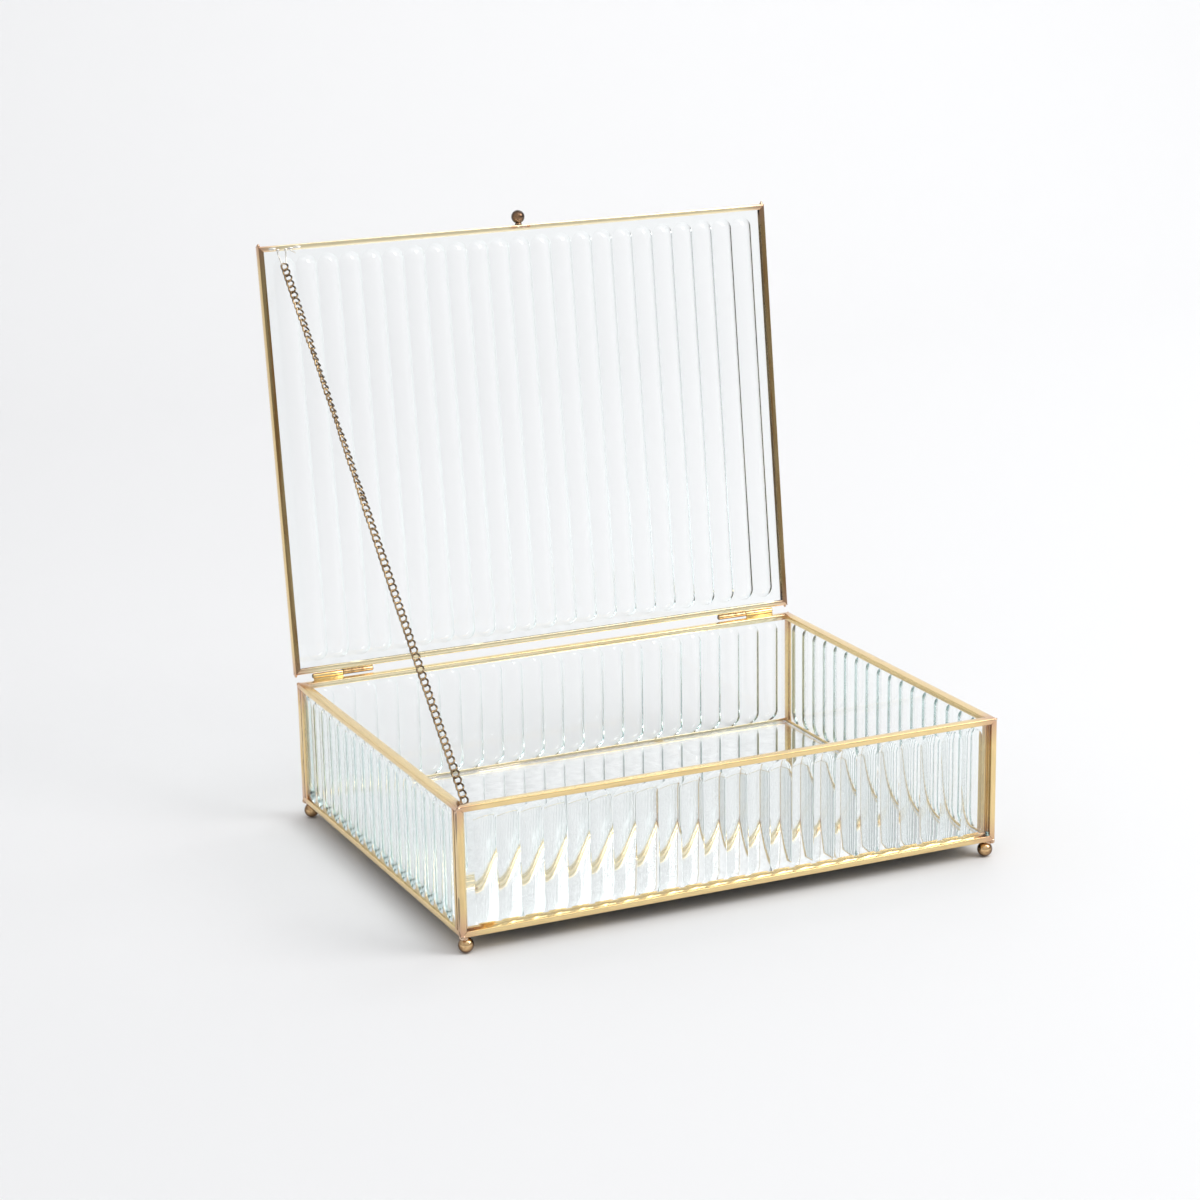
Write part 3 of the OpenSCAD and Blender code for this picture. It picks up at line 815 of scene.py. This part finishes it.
class CASKET_OT_strips(bpy.types.Operator):
    """Makes the brass strip: the base's rails and posts, and the lid's rails"""

    bl_idname = "casket.strips"
    bl_label = "Brass strip"

    def execute(self, context):
        s = settings("strip")
        t, w, crown = s.metal, s.face, s.crown
        wide = s.slot + 2 * t
        r = 0.35 * MM
        bottom = outline([
            (0, 0, r, 0), (wide + s.ledge, 0, 0, 0), (wide + s.ledge, t, 0, 0),
            (wide, t, 0, 0), (wide, s.bead, 0.25 * MM, 0), (wide - t, s.bead, 0.25 * MM, 0),
            (wide - t, t, 0, 0), (t, t, 0, 0), (t, w, 0.2 * MM, 0), (0, w, r, crown)])
        top = outline([
            (0, RIM - w, r, 0), (t, RIM - w, 0.2 * MM, 0), (t, RIM - t, 0, 0),
            (wide - t, RIM - t, 0, 0), (wide - t, RIM - w, 0.2 * MM, 0),
            (wide, RIM - w, 0.25 * MM, crown), (wide, RIM, r, crown), (0, RIM, r, crown)])
        for name, turn, length, across in FACES:
            run = "along" if length == WIDTH else "across"
            for kind, points, height in (("bottom", bottom, 0), ("top", top, RIM)):
                bm = strip(points, length, slots=12)
                mitre(bm, length, face_height=height)
                # the back strips get the brass painted lighter: painted light
                material = brass_painted_lighter() if name == "back" else strip_brass(run)
                piece(bm, kind + "_strip_" + name, "base", [material],
                      [kind + "_rail_" + name], matrix=on_face(turn, across))
        self.posts()
        t = s.lid_metal
        thick = s.slot + 2 * t
        lid = outline([
            (0, 0, r, crown), (w, 0, 0.25 * MM, 0), (w, t, 0, 0), (t, t, 0, 0),
            (t, thick - t, 0, 0), (w, thick - t, 0, 0), (w, thick, 0.25 * MM, crown),
            (0, thick, r, crown)])
        lid_z = HINGE.z - (HINGE.y - BACK) + 0.5 * MM
        for name, turn, length, across in FACES:
            bm = strip(lid, length, slots=12)
            mitre(bm, length)
            place = OPEN_LID @ Matrix.Translation((0, 0, lid_z)) @ on_face(turn, across)
            if length == WIDTH:
                # the lid's long strips get the brass painted lighter: painted light
                materials = [brass_painted_lighter()]
            else:
                # the lid's side rails: painted shade on every face but the outer edge, which keeps
                # the plain brass
                materials = [strip_brass("lid side"), strip_brass("lid edge")]
                bm.normal_update()
                for face in bm.faces:
                    face.material_index = 1 if face.normal.y < -0.6 else 0
            piece(bm, "lid_strip_" + name, "lid", materials,
                  ["lid_rail_" + name], matrix=place)
        return {"FINISHED"}

    def posts(self):
        """Each corner's uprights: the front or back wall's channel, mitred in its face,
        and behind it the side wall's channel. The seam between them shows outside."""
        s = settings("strip")
        t, w, crown = s.metal, s.face, s.crown
        wide = s.slot + 2 * t
        r, fine = 0.35 * MM, 0.2 * MM
        low = max(w, s.bead)
        corner = [(0, 0, r, crown), (w, 0, r, 0), (w, t, fine, 0), (t, t, 0, 0),
                  (t, w, 0, 0), (0, w, 0, 0)]
        plates = (
            ([(0, w, 0, 0), (t, w, 0, 0), (t, wide, 0, 0), (0, wide, fine, 0)], w),
            ([(0, wide, fine, 0), (t, wide, 0, 0), (t, wide + w, fine, 0),
              (0, wide + w, r, crown)], w),
            ([(t, wide - t, 0, 0), (w, wide - t, fine, 0), (w, wide, 0, 0),
              (t, wide, 0, 0)], low),
            ([(t, wide, 0, 0), (wide, wide, fine, 0), (wide, wide + w, fine, crown),
              (wide - t, wide + w, fine, 0), (wide - t, wide + t, 0, 0),
              (t, wide + t, 0, 0)], low),
        )
        upright = Matrix(((0, 1, 0, 0), (0, 0, 1, 0), (1, 0, 0, RIM / 2), (0, 0, 0, 1)))
        for name, x, y in CORNERS:
            bm = strip(outline(corner), RIM, slots=6)
            bmesh.ops.transform(bm, verts=bm.verts, matrix=upright)
            for end in (0, RIM):
                up = -1 if end == 0 else 1
                cut(bm, Vector((0, 0, end)), Vector((1, 0, up)))
                cut(bm, Vector((0, 0, end)), Vector((0, 1, up)))
            for corners, start in plates:
                plate = strip(outline(corners), RIM)
                bmesh.ops.transform(plate, verts=plate.verts, matrix=upright)
                cut(plate, Vector((0, 0, start)), Vector((0, 0, -1)))
                cut(plate, Vector((0, 0, RIM - w)), Vector((0, 0, 1)))
                bmesh.ops.recalc_face_normals(plate, faces=plate.faces)
                join(bm, plate)
            piece(bm, "post_strip_" + name, "base", [strip_brass("upright")],
                  ["post_" + name], matrix=at_corner(x, y))


class CASKET_OT_feet(bpy.types.Operator):
    """Makes the ball feet and the lid's knob"""

    bl_idname = "casket.feet"
    bl_label = "Feet and knob"

    def execute(self, context):
        low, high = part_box("foot_front_left")
        ball = (high.x - low.x) / 2
        drop = -(low.z + ball)
        inset = low.x + ball - LEFT
        for name, x, y in CORNERS:
            profile = ball_profile(ball, drop, 2 * MM)
            place = at_corner(x, y) @ Matrix.Translation((inset, inset, -drop))
            piece(lathe(profile, place), "ball_" + name, "base", [bronze()],
                  ["foot_" + name], sharp=50)
        low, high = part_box("lid_knob")
        ball = (high.x - low.x) / 2
        reach = 4.4 * MM
        lid_z = HINGE.z - (HINGE.y - BACK) + 0.5 * MM
        lid_t = settings("strip").slot + 2 * settings("strip").lid_metal
        place = (OPEN_LID @ Matrix.Translation((0, FRONT - reach, lid_z + lid_t / 2))
                 @ Matrix.Rotation(-math.pi / 2, 4, "X"))
        piece(lathe(ball_profile(ball, reach, 2.1 * MM), place), "knob", "lid",
              [knob_bronze()], ["lid_knob"], sharp=50)
        return {"FINISHED"}


def ball_profile(ball, reach, neck):
    """From the pole of a ball at the origin, over its side, to a neck that flares
    where it meets the strip at height reach."""
    start = math.asin(neck * 0.8 / ball)
    points = []
    for k in range(19):
        angle = math.pi - k / 18 * (math.pi - start)
        points.append((ball * math.sin(angle), ball * math.cos(angle)))
    points[0] = (0, -ball)
    top = points[-1][1]
    for t in (0.35, 0.7, 1):
        points.append((neck * (0.8 + 0.25 * t * t), top + (reach - top) * t))
    points.append((0, reach))
    return points


class CASKET_OT_hinges(bpy.types.Operator):
    """Makes the hinges' tubes, leaves and pins"""

    bl_idname = "casket.hinges"
    bl_label = "Hinges"

    def execute(self, context):
        # the leaf and the neck of each tube, as (y, z) corners in mm from the hinge line;
        # the lid's are given with the lid closed
        face = settings("strip").face / MM
        leaves = {
            "base": (((-1.9, -1.9 - face), (-1.2, -1.9)), ((-1.6, -2.6), (-0.9, -0.95))),
            "lid": (((-1.9, -1.2), (-1.2, 2.8)), ((-1.6, -0.7), (-0.9, 0.7))),
        }
        for side in ("left", "right"):
            for body, leaf_metal in (("base", brass()), ("lid", bronze())):
                node = body + "_hinge_tube_" + side
                low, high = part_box(node)
                bm = bmesh.new()
                outer, bore = 1.45 * MM, 0.75 * MM
                ring = outline([
                    (bore, 0, 0, 0), (outer, 0, 0.3 * MM, 0),
                    (outer, high.x - low.x, 0.3 * MM, 0), (bore, high.x - low.x, 0, 0)])
                profile = [(p.x, p.y) for p in ring]
                turn = Matrix.Translation((low.x, HINGE.y, HINGE.z)) @ Matrix.Rotation(
                    math.pi / 2, 4, "Y")
                join(bm, lathe(profile + profile[:1], turn, steps=28))
                for box_low, box_high in leaves[body]:
                    slab = bmesh.new()
                    bmesh.ops.create_cube(slab, size=1)
                    first = Vector((low.x, HINGE.y + box_low[0] * MM, HINGE.z + box_low[1] * MM))
                    last = Vector((high.x, HINGE.y + box_high[0] * MM, HINGE.z + box_high[1] * MM))
                    size, middle = last - first, (first + last) / 2
                    bmesh.ops.transform(
                        slab, verts=slab.verts,
                        matrix=Matrix.Translation(middle) @ Matrix.Diagonal((*size, 1)))
                    bmesh.ops.bevel(
                        slab, geom=slab.edges[:], offset=0.12 * MM, affect="EDGES",
                        segments=2, profile=0.5, material=-1)
                    if body == "lid":
                        bmesh.ops.transform(slab, matrix=OPEN_LID, verts=slab.verts)
                    join(bm, slab)
                piece(bm, body + "_tube_" + side, body, [leaf_metal], [node],
                      sharp=40)
            node = "hinge_pin_" + side
            low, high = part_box(node)
            length = high.x - low.x
            head, rod = 1.1 * MM, 0.7 * MM
            profile = [
                (0, 0), (head * 0.6, 0), (head, 0.2 * MM), (head, 0.4 * MM),
                (rod, 0.4 * MM), (rod, length - 0.4 * MM), (head, length - 0.4 * MM),
                (head, length - 0.2 * MM), (head * 0.6, length), (0, length)]
            turn = Matrix.Translation((low.x, HINGE.y, HINGE.z)) @ Matrix.Rotation(
                math.pi / 2, 4, "Y")
            piece(lathe(profile, turn, steps=20), "pin_" + side, "base",
                  [tarnished_and_shaded_brass()], [node], sharp=40)
        return {"FINISHED"}


# ------------------------------------------------------------------ solder


class CASKET_OT_solder(bpy.types.Operator):
    """Makes the solder at the corners of the base and the lid, and dark wires of painted shade
    along the seams
    """

    bl_idname = "casket.solder"
    bl_label = "Solder"

    def execute(self, context):
        face = settings("strip").face
        wide = settings("strip").slot + 2 * settings("strip").metal
        lumps, seam_shades = bmesh.new(), bmesh.new()
        for i, (name, x, y) in enumerate(CORNERS):
            place = at_corner(x, y)
            blob(lumps, place @ Vector((0.85 * MM, 0.85 * MM, RIM - 0.8 * MM)),
                 [1.25 * MM, 1.25 * MM, 1.1 * MM], i * 7)
            blob(lumps, place @ Vector((1.2 * MM, 1.2 * MM, -0.1 * MM)),
                 [1.7 * MM, 1.7 * MM, 1.5 * MM], i * 7 + 90)
            blob(lumps, place @ Vector((2.6 * MM, 1.9 * MM, -1.0 * MM)),
                 [1.5 * MM, 1.3 * MM, 1.4 * MM], i * 7 + 50)
            for height in (0.0, RIM):
                up = 1 if height == 0 else -1
                for along in (Vector((1, 0, up)), Vector((0, 1, up))):
                    line(seam_shades, place, Vector((0, 0, height)), along * face, i + up)
            line(seam_shades, place, Vector((0, 0, RIM)), Vector((wide, wide, 0)), i)
            line(seam_shades, place, Vector((0, wide, face)),
                 Vector((0, 0, RIM - 2 * face)), i + 9, radius=0.14 * MM)
        piece(lumps, "base_solder", "base", [solder()], sharp=60)
        piece(seam_shades, "base_seam_shades", "base", [seam()], sharp=60)
        lumps, seam_shades = bmesh.new(), bmesh.new()
        lid_z = HINGE.z - (HINGE.y - BACK) + 0.5 * MM
        lid_t = settings("strip").slot + 2 * settings("strip").lid_metal
        for i, (name, x, y) in enumerate(CORNERS):
            place = OPEN_LID @ Matrix.Translation((0, 0, lid_z)) @ at_corner(x, y)
            blob(lumps, place @ Vector((0.7 * MM, 0.7 * MM, lid_t / 2)),
                 [1.05 * MM, 1.05 * MM, 2.2 * MM], i * 5 + 40)
            for height in (0.0, lid_t):
                line(seam_shades, place, Vector((0, 0, height)), Vector((face, face, 0)), i + 3)
        for x, seed in ((-3.5, 61), (3, 67)):
            blob(lumps, OPEN_LID @ Vector((x * MM, FRONT + 1.4 * MM, lid_z + 0.12 * MM)),
                 [4.2 * MM, 0.3 * MM, 1.1 * MM], seed, 0.06 * MM)
        piece(lumps, "lid_solder", "lid", [solder()], sharp=60)
        piece(seam_shades, "lid_seam_shades", "lid", [seam()], sharp=60)
        return {"FINISHED"}


def line(bm, place, start, run, seed, radius=0.11 * MM):
    """A fine dark wire along the seam between two strips, a little uneven: painted shade of the
    crevice there.
    """
    path = [place @ (start + run * k / 8) for k in range(9)]
    part = wire(path, radius, segments=6)
    rough_up(part, radius * 0.4, 900, seed)
    join(bm, part)


# ------------------------------------------------------------------ chain


def smooth(start, end, value):
    """Rises smoothly from 0 at start to 1 at end."""
    t = min(1, max(0, (value - start) / (end - start)))
    return t * t * (3 - 2 * t)


def link_mesh():
    """One twisted oval link along X, so that each link lies like the next."""
    c = settings("chain")
    radius = (c.link_width - c.wire) / 2
    stretch = (c.link_length - c.link_width) / 2
    bm = bmesh.new()
    made = bmesh.ops.create_circle(
        bm, radius=c.wire / 2, segments=6,
        matrix=Matrix.Translation((0, radius, 0)) @ Matrix.Rotation(math.pi / 2, 4, "Y"))
    edges = list({e for v in made["verts"] for e in v.link_edges})
    bmesh.ops.spin(
        bm, geom=made["verts"] + edges, cent=(0, 0, 0), axis=(0, 0, 1),
        angle=2 * math.pi, steps=16, use_merge=True)
    bmesh.ops.remove_doubles(bm, verts=bm.verts, dist=1e-6)
    half = c.link_length / 2
    for v in bm.verts:
        if abs(v.co.x) > 1e-6:
            v.co.x += math.copysign(stretch * min(1, abs(v.co.x) / (0.3 * radius)), v.co.x)
        v.co.rotate(Matrix.Rotation(math.radians(38) * v.co.x / half, 3, "X"))
    return bm


class CASKET_OT_chain(bpy.types.Operator):
    """Makes the chain's links"""

    bl_idname = "casket.chain"
    bl_label = "Chain"

    def execute(self, context):
        c = settings("chain")
        run = HEAD_BAR - FOOT_BAR
        along = run.normalized()
        turn = along.to_track_quat("X", "Z").to_matrix().to_4x4()
        master = link_mesh()
        for body, node, start, way, first, count in (
            ("chain_foot", "chain_foot_links", FOOT_BAR, along, 0, 14),
            ("chain_lower", "chain_lower_links", FOOT_BAR, along, 14, 34),
            ("chain_head", "chain_head_links", HEAD_BAR, -along, 0, 10),
            ("chain_upper", "chain_upper_links", HEAD_BAR, -along, 10, 30),
        ):
            bm = bmesh.new()
            for k in range(first, first + count):
                centre = start + way * (self.first_link() + k * self.pitch())
                join(bm, self.placed(master, centre, turn))
            if body == "chain_upper":
                join(bm, self.placed(master, start + way * self.middle(), turn))
            piece(bm, node.replace("_links", "_run"), body, [tarnished_and_shaded_brass()],
                  [node], sharp=70)
        master.free()
        return {"FINISHED"}

    def pitch(self):
        below = Vector(JOINTS["chain_lower_swing"]["pos_m"]) - FOOT_BAR
        return (below.length - 0.05 * MM) / 14

    def first_link(self):
        radius = (self.pitch() + 0.85 * MM) / 2
        return radius - 0.8 * MM

    def middle(self):
        """Distance from the head bar to the link that bridges the middle gap."""
        tips = self.first_link() + 39 * self.pitch() + (self.pitch() + 0.85 * MM) / 2 + 0.4 * MM
        return tips + 0.3 * MM

    def placed(self, master, centre, turn):
        copy = master.copy()
        share = (centre - FOOT_BAR).length / (HEAD_BAR - FOOT_BAR).length
        roll = -27 + 68 * smooth(0.3, 0.7, share) * (1 - smooth(0.8, 1, share))
        roll += 7 * math.sin(share * 57) + 5 * math.sin(share * 131)
        matrix = (Matrix.Translation(centre) @ turn
                  @ Matrix.Rotation(math.radians(roll), 4, "X"))
        bmesh.ops.transform(copy, matrix=matrix, verts=copy.verts)
        return copy


class CASKET_OT_eyes(bpy.types.Operator):
    """Makes the two wire eyes that hold the chain"""

    bl_idname = "casket.eyes"
    bl_label = "Eyes"

    def execute(self, context):
        bm = bmesh.new()
        foot = Vector((FOOT_BAR.x, FRONT + 4.9 * MM, FOOT_BAR.z - 1 * MM))
        path = self.arch(foot, FOOT_BAR, 1.8 * MM, 1.7 * MM)
        join(bm, wire(path, 0.36 * MM))
        for sign, seed in ((-1, 1), (1, 5)):
            blob(bm, foot + Vector((sign * 1.8 * MM, 0, 0)), [0.7 * MM] * 3, seed, 0.1 * MM)
        piece(bm, "foot_eye_wire", "base", [eye_wire()], ["foot_eye"],
              sharp=60)
        closed = OPEN_LID.inverted() @ HEAD_BAR
        lid_z = HINGE.z - (HINGE.y - BACK) + 0.5 * MM
        root = Vector((closed.x, FRONT + settings("strip").face, lid_z + 0.22 * MM))
        knee = root + Vector((0, 1.3 * MM, 0))
        path = self.arch(knee, closed, 2.2 * MM, 1.2 * MM)
        ends = [root + Vector((sign * 2.2 * MM, 0, 0)) for sign in (-1, 1)]
        bm = bmesh.new()
        join(bm, wire([ends[0], *path, ends[1]], 0.33 * MM))
        spare = [root + Vector((x * MM, y * MM, z * MM)) for x, y, z in
                 ((4.2, -0.6, 0), (5.4, 0.3, 0), (6.6, 1.0, 0.05), (7.6, 1.9, 0.1))]
        join(bm, wire(spare, 0.3 * MM))
        for x, y, wide, seed in ((-5.4, -1.3, 2.8, 12), (-2.2, -0.4, 1.0, 2),
                                 (2.2, -0.4, 1.0, 9), (4.6, -0.9, 1.9, 4),
                                 (8.4, -1.3, 3.0, 15)):
            blob(bm, root + Vector((x * MM, y * MM, -0.1 * MM)),
                 [wide * MM, 0.8 * MM, 0.38 * MM], seed, 0.08 * MM)
        piece(bm, "head_eye_wire", "lid", [eye_wire()], ["head_eye"],
              sharp=60, matrix=OPEN_LID)
        return {"FINISHED"}

    def arch(self, root, bar, root_half, bar_half):
        """Points from one root, over the bar, to the other root."""
        left, right = Vector((-1, 0, 0)), Vector((1, 0, 0))
        points = []
        for side, steps in ((left, (0, 0.5, 0.85)), (right, (0.85, 0.5, 0))):
            for t in steps:
                half = root_half * (1 - t) + bar_half * t
                points.append(root.lerp(bar, t) + side * half)
            if side is left:
                for t in (-0.85, -0.4, 0, 0.4, 0.85):
                    points.append(bar + Vector((bar_half * t, 0, 0)))
        return points


# ------------------------------------------------------------------ stage


class CASKET_OT_stage(bpy.types.Operator):
    """Sets the camera, the floor with its backdrop, and the lights"""

    bl_idname = "casket.stage"
    bl_label = "Stage"

    def execute(self, context):
        self.camera()
        self.backdrop()
        self.lights()
        return {"FINISHED"}

    def camera(self):
        turn, rise, roll = (math.radians(a) for a in (-25.03, 16.97, -0.88))
        back = Vector((
            math.sin(turn) * math.cos(rise), -math.cos(turn) * math.cos(rise),
            math.sin(rise)))
        right = Vector((math.cos(turn), math.sin(turn), 0))
        up = back.cross(right)
        across = right * math.cos(roll) + up * math.sin(roll)
        above = up * math.cos(roll) - right * math.sin(roll)
        data = bpy.data.cameras.new("Camera")
        data.sensor_width = 36
        data.lens = 3127 / 1200 * 36
        data.shift_x, data.shift_y = -40 / 1200, 80 / 1200
        data.clip_start = 0.01
        camera = bpy.data.objects.new("Camera", data)
        place = Matrix((across, above, back)).transposed().to_4x4()
        place.translation = (-0.6659, -1.4281, 0.559)
        camera.matrix_world = place
        bpy.context.scene.collection.objects.link(camera)
        bpy.context.scene.camera = camera

    def backdrop(self):
        """A sheet that runs level under the box and curves up behind it."""
        bm = bmesh.new()
        path = [(-1.7, 0), (1.2, 0)]
        for k in range(1, 13):
            angle = k / 12 * math.pi / 2
            path.append((1.2 + 0.9 * math.sin(angle), 0.9 * (1 - math.cos(angle))))
        path.append((2.1, 3.2))
        verts = [bm.verts.new((-2.6, y, TABLE + z)) for y, z in path]
        edges = [bm.edges.new(pair) for pair in zip(verts, verts[1:])]
        made = bmesh.ops.extrude_edge_only(bm, edges=edges)["geom"]
        bmesh.ops.translate(
            bm, vec=(5.2, 0, 0), verts=[v for v in made if isinstance(v, bmesh.types.BMVert)])
        bmesh.ops.recalc_face_normals(bm, faces=bm.faces)
        for face in bm.faces:
            face.smooth = True
        mesh = bpy.data.meshes.new("backdrop")
        bm.to_mesh(mesh)
        bm.free()
        obj = bpy.data.objects.new("backdrop", mesh)
        bpy.context.scene.collection.objects.link(obj)
        mat, shader, _ = new_material("Backdrop paper")
        shader.inputs["Base Color"].default_value = (*settings("stage").floor, 1)
        shader.inputs["Roughness"].default_value = 0.8
        shader.inputs["Specular IOR Level"].default_value = 0.2
        mesh.materials.append(mat)

    def lights(self):
        stage = settings("stage")
        scene = bpy.context.scene
        world = scene.world or bpy.data.worlds.new("Room")
        scene.world = world
        world.use_nodes = True
        self.room(world.node_tree, stage.room)
        scene.view_settings.view_transform = "Standard"
        scene.cycles.max_bounces = 24
        scene.cycles.transmission_bounces = 24
        scene.cycles.glossy_bounces = 16
        scene.cycles.transparent_max_bounces = 24
        for name, place, aim, size, power in (
            ("Key", (1.3, -1.1, 1.5), (0.1, 0, 0.03), 1.1, stage.key),
            ("Top", (0.4, -0.8, 2.3), (0.2, -0.2, 0), 1.6, stage.top),
            ("Wall", (1.5, 0.9, 2.0), (1.3, 2.1, 0.9), 1.4, stage.wall),
        ):
            data = bpy.data.lights.new(name, "AREA")
            data.shape, data.size, data.energy = "SQUARE", size, power
            lamp = bpy.data.objects.new(name, data)
            away = Vector(place) - Vector(aim)
            lamp.matrix_world = Matrix.Translation(place) @ away.to_track_quat(
                "Z", "Y").to_matrix().to_4x4()
            scene.collection.objects.link(lamp)


    def room(self, tree, strength):
        """A room that is darker at the height of the box than above it."""
        nodes, link = tree.nodes, tree.links.new
        way = nodes.new("ShaderNodeTexCoord")
        parts = nodes.new("ShaderNodeSeparateXYZ")
        height = nodes.new("ShaderNodeMapRange")
        height.inputs["From Min"].default_value = -1
        ramp = nodes.new("ShaderNodeValToRGB")
        steps = ((0.0, 1.0), (0.49, 1.0), (0.53, 0.75), (0.66, 0.75), (0.8, 1.0))
        while len(ramp.color_ramp.elements) < len(steps):
            ramp.color_ramp.elements.new(0.5)
        for element, (position, value) in zip(ramp.color_ramp.elements, steps):
            element.position = position
            element.color = (0.98 * value, 0.985 * value, value, 1)
        link(way.outputs["Generated"], parts.inputs["Vector"])
        link(parts.outputs["Z"], height.inputs["Value"])
        link(height.outputs["Result"], ramp.inputs["Fac"])
        background = nodes["Background"]
        link(ramp.outputs["Color"], background.inputs["Color"])
        background.inputs["Strength"].default_value = strength


# ------------------------------------------------------------------ panel


class CASKET_PT_panel(bpy.types.Panel):
    """Lists the casket's pieces and settings"""

    bl_idname = "CASKET_PT_panel"
    bl_label = "Glass casket box"
    bl_space_type = "VIEW_3D"
    bl_region_type = "UI"
    bl_category = "Casket"

    def draw(self, context):
        for operator in OPERATORS:
            self.layout.operator(operator.bl_idname)
        for group in GROUPS:
            values = getattr(context.scene, setting_name(group))
            column = self.layout.column(align=True)
            for name in group.__annotations__:
                column.prop(values, name)


OPERATORS = (
    CASKET_OT_stage,
    CASKET_OT_panes,
    CASKET_OT_mirror,
    CASKET_OT_strips,
    CASKET_OT_solder,
    CASKET_OT_feet,
    CASKET_OT_hinges,
    CASKET_OT_chain,
    CASKET_OT_eyes,
)
CLASSES = GROUPS + OPERATORS + (CASKET_PT_panel,)


def setting_name(group):
    return "casket_" + group.__name__.removeprefix("Casket").lower()


def register():
    for cls in CLASSES:
        bpy.utils.register_class(cls)
    for group in GROUPS:
        setattr(bpy.types.Scene, setting_name(group), bpy.props.PointerProperty(type=group))


def unregister():
    for group in GROUPS:
        delattr(bpy.types.Scene, setting_name(group))
    for cls in reversed(CLASSES):
        bpy.utils.unregister_class(cls)


def main():
    register()
    bpy.ops.casket.stage()
    bpy.ops.casket.panes()
    bpy.ops.casket.mirror()
    bpy.ops.casket.strips()
    bpy.ops.casket.solder()
    bpy.ops.casket.feet()
    bpy.ops.casket.hinges()
    bpy.ops.casket.chain()
    bpy.ops.casket.eyes()
    bpy.context.view_layer.update()


if __name__ == "__main__":
    main()
